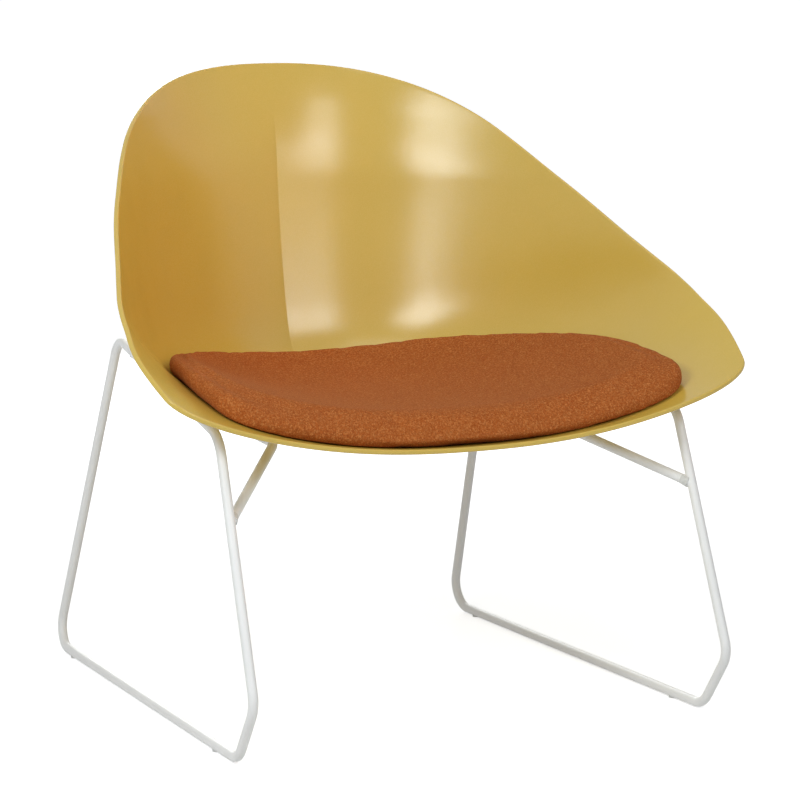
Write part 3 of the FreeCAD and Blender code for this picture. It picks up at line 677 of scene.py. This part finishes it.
def felt():
    s = Surface("wool felt", Roughness=0.95, Specular_IOR_Level=0.06, Sheen_Weight=0.06, Sheen_Roughness=0.5,
                Sheen_Tint=(1.0, 0.70, 0.45, 1))
    blotch = s.noise(55, detail=4, roughness=0.6, distortion=0.6)
    speck = s.noise(420, detail=2, roughness=0.6)
    fibre = s.noise(760, detail=2, roughness=0.6, place=s.stretched((1, 0.6, 1)))
    base = s.ramp(blotch, (0.3, (0.400, 0.101, 0.021)), (0.7, (0.440, 0.123, 0.027)))
    spotted = s.mix(s.ramp(speck, (0.46, 0.0), (0.64, 0.75)), base, (0.60, 0.235, 0.070))
    s.colour(s.mix(s.ramp(fibre, (0.44, 0.0), (0.64, 0.70)), spotted, (0.225, 0.048, 0.010)))
    low = s.relief(blotch, distance=0.003, strength=0.12)
    middle = s.relief(speck, distance=0.0012, strength=0.45, below=low)
    s.relief(fibre, distance=0.0004, strength=0.6, below=middle)
    return s.material


def powder_coat():
    s = Surface("white powder coat", Specular_IOR_Level=0.5)
    cloudy = s.noise(12, detail=3, roughness=0.5)
    s.colour(s.ramp(cloudy, (0.3, (0.86, 0.85, 0.84)), (0.7, (0.89, 0.88, 0.87))))
    peel = s.noise(650, detail=2, roughness=0.5)
    s.gloss(s.ramp(peel, (0.3, 0.36), (0.7, 0.46)))
    s.relief(peel, distance=0.00012, strength=0.35)
    return s.material


def weld_bead():
    s = Surface("painted weld", Specular_IOR_Level=0.5)
    ripple = s.noise(420, detail=2, roughness=0.5, distortion=0.8)
    s.colour(s.ramp(ripple, (0.3, (0.66, 0.66, 0.64)), (0.7, (0.745, 0.745, 0.735))))
    s.gloss(s.ramp(ripple, (0.3, 0.38), (0.7, 0.52)))
    s.relief(ripple, distance=0.0009, strength=0.7)
    return s.material


def bright_steel():
    s = Surface("turned steel", Metallic=1.0)
    turned = s.noise(900, detail=3, roughness=0.6, place=s.stretched((1, 1, 6)))
    s.colour(s.ramp(turned, (0.3, (0.50, 0.50, 0.51)), (0.7, (0.66, 0.66, 0.66))))
    s.gloss(s.ramp(turned, (0.3, 0.24), (0.7, 0.40)))
    s.relief(turned, distance=0.00008, strength=0.4)
    return s.material


def brass():
    s = Surface("turned brass", Metallic=1.0)
    turned = s.noise(1100, detail=3, roughness=0.6, place=s.stretched((1, 1, 7)))
    s.colour(s.ramp(turned, (0.3, (0.52, 0.36, 0.13)), (0.7, (0.68, 0.50, 0.21))))
    s.gloss(s.ramp(turned, (0.3, 0.26), (0.7, 0.42)))
    s.relief(turned, distance=0.00008, strength=0.4)
    return s.material


def rubber():
    s = Surface("sleeve rubber", Specular_IOR_Level=0.3)
    bloom = s.noise(160, detail=3, roughness=0.6)
    s.colour(s.ramp(bloom, (0.3, (0.46, 0.46, 0.44)), (0.7, (0.55, 0.55, 0.53))))
    s.gloss(s.ramp(bloom, (0.3, 0.62), (0.7, 0.78)))
    skin = s.noise(1500, detail=2, roughness=0.5)
    s.relief(skin, distance=0.00008, strength=0.5)
    return s.material


def nylon():
    s = Surface("glide nylon", Specular_IOR_Level=0.4)
    scuffs = s.noise(500, detail=4, roughness=0.65, place=s.stretched((1, 0.3, 1)))
    s.colour(s.ramp(scuffs, (0.3, (0.66, 0.66, 0.64)), (0.7, (0.745, 0.745, 0.735))))
    s.gloss(s.ramp(scuffs, (0.3, 0.42), (0.7, 0.62)))
    s.relief(scuffs, distance=0.0001, strength=0.5)
    return s.material


def tape(name, dark, pale, scale, distance):
    s = Surface(name, Roughness=0.9, Specular_IOR_Level=0.2)
    pile = s.noise(scale, detail=2, roughness=0.5)
    s.colour(s.ramp(pile, (0.35, dark), (0.7, pale)))
    s.relief(pile, distance=distance, strength=0.8)
    return s.material


SLOT_MATERIALS = {
    "shell_plastic": plastic_shell(),
    "pad_fabric": felt(),
    "frame_steel": powder_coat(),
    "weld_steel": weld_bead(),
    "screw_steel": bright_steel(),
    "insert_brass": brass(),
    "sleeve_rubber": rubber(),
    "glide_plastic": nylon(),
    "hook_tape": tape("hook tape", (0.012, 0.012, 0.013), (0.045, 0.045, 0.045), 1700, 0.0006),
    "loop_tape": tape("loop tape", (0.018, 0.017, 0.017), (0.07, 0.068, 0.066), 1200, 0.0009),
}
NODE_SLOTS = (
    ("side_frame", "frame_steel"),
    ("brace_weld", "weld_steel"),
    ("butt_weld", "weld_steel"),
    ("strap_welds", "weld_steel"),
    ("brace", "frame_steel"),
    ("strap", "frame_steel"),
    ("mounting_screws", "screw_steel"),
    ("mounting_washers", "screw_steel"),
    ("threaded_inserts", "insert_brass"),
    ("sleeve", "sleeve_rubber"),
    ("glide", "glide_plastic"),
    ("hook_patches", "hook_tape"),
    ("loop_patches", "loop_tape"),
    ("seat_shell", "shell_plastic"),
    ("seat_pad", "pad_fabric"),
)
for name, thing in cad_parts.items():
    slot = next(slot for start, slot in NODE_SLOTS if name.startswith(start))
    for place in thing.material_slots:
        place.material = SLOT_MATERIALS[slot]
shell.data.materials.append(SLOT_MATERIALS["shell_plastic"])
pad.data.materials.append(SLOT_MATERIALS["pad_fabric"])


# Studio: a pale floor, a white surround and soft boxes

def path_rays(tree):
    """1 for rays that see the surround itself, in the camera or in a reflection."""
    rays = tree.nodes.new("ShaderNodeLightPath")
    either = tree.nodes.new("ShaderNodeMath")
    either.operation = "MAXIMUM"
    tree.links.new(rays.outputs["Is Camera Ray"], either.inputs[0])
    tree.links.new(rays.outputs["Is Glossy Ray"], either.inputs[1])
    seen = tree.nodes.new("ShaderNodeMath")
    seen.operation = "MAXIMUM"
    tree.links.new(either.outputs[0], seen.inputs[0])
    tree.links.new(rays.outputs["Is Transmission Ray"], seen.inputs[1])
    return seen.outputs[0]


AMBIENT = 0.24
world = bpy.data.worlds.new("surround")
scene.world = world
world.use_nodes = True
tree = world.node_tree
backdrop = tree.nodes["Background"]
backdrop.inputs["Color"].default_value = (1, 1, 1, 1)
level = tree.nodes.new("ShaderNodeMapRange")
level.inputs["To Min"].default_value = AMBIENT
level.inputs["To Max"].default_value = 1.0
tree.links.new(path_rays(tree), level.inputs["Value"])
tree.links.new(level.outputs["Result"], backdrop.inputs["Strength"])

FLOOR_REACH = 40
FLOOR_SIDES = 96
FLOOR_PAINT = (0.8, 0.8, 0.8, 1)
# What the floor's own paint lacks of white under the lamps, near the chair and far from it
NEAR_GLOW = 0.62
FAR_GLOW = 0.84
NEAR_REACH = 0.7
FAR_REACH = 2.6
bm = bmesh.new()
bmesh.ops.create_circle(bm, cap_ends=True, radius=FLOOR_REACH, segments=FLOOR_SIDES)
mesh = bpy.data.meshes.new("floor")
bm.to_mesh(mesh)
bm.free()
floor = bpy.data.objects.new("floor", mesh)
scene.collection.objects.link(floor)
paint = bpy.data.materials.new("pale floor")
paint.use_nodes = True
tree = paint.node_tree
tree.nodes.remove(tree.nodes["Principled BSDF"])
matt = tree.nodes.new("ShaderNodeBsdfDiffuse")
matt.inputs["Color"].default_value = FLOOR_PAINT
glow = tree.nodes.new("ShaderNodeEmission")
glow.inputs["Color"].default_value = (1, 1, 1, 1)
share = tree.nodes.new("ShaderNodeMath")
share.operation = "MULTIPLY"
tree.links.new(path_rays(tree), share.inputs[0])
spot = tree.nodes.new("ShaderNodeTexCoord")
distance = tree.nodes.new("ShaderNodeVectorMath")
distance.operation = "LENGTH"
tree.links.new(spot.outputs["Object"], distance.inputs[0])
lack = tree.nodes.new("ShaderNodeMapRange")
lack.inputs["From Min"].default_value = NEAR_REACH
lack.inputs["From Max"].default_value = FAR_REACH
lack.inputs["To Min"].default_value = NEAR_GLOW
lack.inputs["To Max"].default_value = FAR_GLOW
tree.links.new(distance.outputs["Value"], lack.inputs["Value"])
tree.links.new(lack.outputs["Result"], share.inputs[1])
tree.links.new(share.outputs[0], glow.inputs["Strength"])
both = tree.nodes.new("ShaderNodeAddShader")
tree.links.new(matt.outputs["BSDF"], both.inputs[0])
tree.links.new(glow.outputs["Emission"], both.inputs[1])
tree.links.new(both.outputs["Shader"], tree.nodes["Material Output"].inputs["Surface"])
floor.data.materials.append(paint)


BOX_COLOUR = (0.94, 0.99, 1.0)
BOUNCE_COLOUR = (1.0, 0.46, 0.24)
BOUNCE_SPREAD = 42
BACK_MIDDLE = (0.06, 0.28, 0.62)
RIGHT_SIDE = (0.2, 0.2, 0.6)
LEFT_SIDE = (-0.24, 0.12, 0.58)
MIDDLE = (0, 0, 0.5)
REAR = (0, 0.1, 0.5)


def soft_box(name, target, azimuth, elevation, distance, width, height, power, roll=0):
    """A rectangular light that faces its target. Azimuth 0 is in front of the chair, towards +X positive."""
    light = bpy.data.lights.new(name, "AREA")
    light.shape = "RECTANGLE"
    light.size = width
    light.size_y = height
    light.energy = power
    light.color = BOX_COLOUR
    lamp = bpy.data.objects.new(name, light)
    scene.collection.objects.link(lamp)
    turn = math.radians(azimuth)
    rise = math.radians(elevation)
    level = math.cos(rise)
    away = Vector((math.sin(turn) * level, -math.cos(turn) * level, math.sin(rise)))
    lamp.location = Vector(target) + away * distance
    facing = away.to_track_quat("Z", "Y") @ Quaternion((0, 0, 1), math.radians(roll))
    lamp.rotation_euler = facing.to_euler()
    return lamp


soft_box("front soft box", BACK_MIDDLE,
         azimuth=0.5, elevation=22, distance=2.6, width=0.66, height=0.8, power=13)
soft_box("low front soft box", BACK_MIDDLE,
         azimuth=0.5, elevation=7, distance=2.6, width=0.66, height=0.42, power=1.4)
soft_box("left soft box", RIGHT_SIDE,
         azimuth=-58, elevation=21, distance=2.6, width=0.75, height=0.9, power=21.5, roll=-28)
soft_box("overhead soft box", MIDDLE,
         azimuth=-40, elevation=68, distance=2.8, width=1.6, height=1.6, power=13)
soft_box("rear soft box", REAR,
         azimuth=165, elevation=16, distance=2.8, width=1.5, height=1.1, power=28)
# Stands for the warm light that the shell throws onto its own left side
bounce = soft_box("warm bounce", LEFT_SIDE,
                  azimuth=62, elevation=22, distance=1.7, width=0.5, height=0.5, power=0.45)
bounce.data.color = BOUNCE_COLOUR
bounce.data.spread = math.radians(BOUNCE_SPREAD)
bounce.visible_glossy = False

# Camera at the photo's viewing angle

CAMERA_PLACE = (-1.6717, -3.6202, 0.9636)
CAMERA_PITCH = 8.609
CAMERA_AZIMUTH = -25.278
CAMERA_SENSOR = 36
CAMERA_LENS = 146.25
CAMERA_REACH = 200
eye = bpy.data.cameras.new("camera")
eye.sensor_width = CAMERA_SENSOR
eye.lens = CAMERA_LENS
eye.clip_end = CAMERA_REACH
camera = bpy.data.objects.new("camera", eye)
scene.collection.objects.link(camera)
camera.location = CAMERA_PLACE
camera.rotation_euler = (math.radians(90 - CAMERA_PITCH), 0, math.radians(CAMERA_AZIMUTH))
scene.camera = camera
scene.view_settings.view_transform = "Standard"
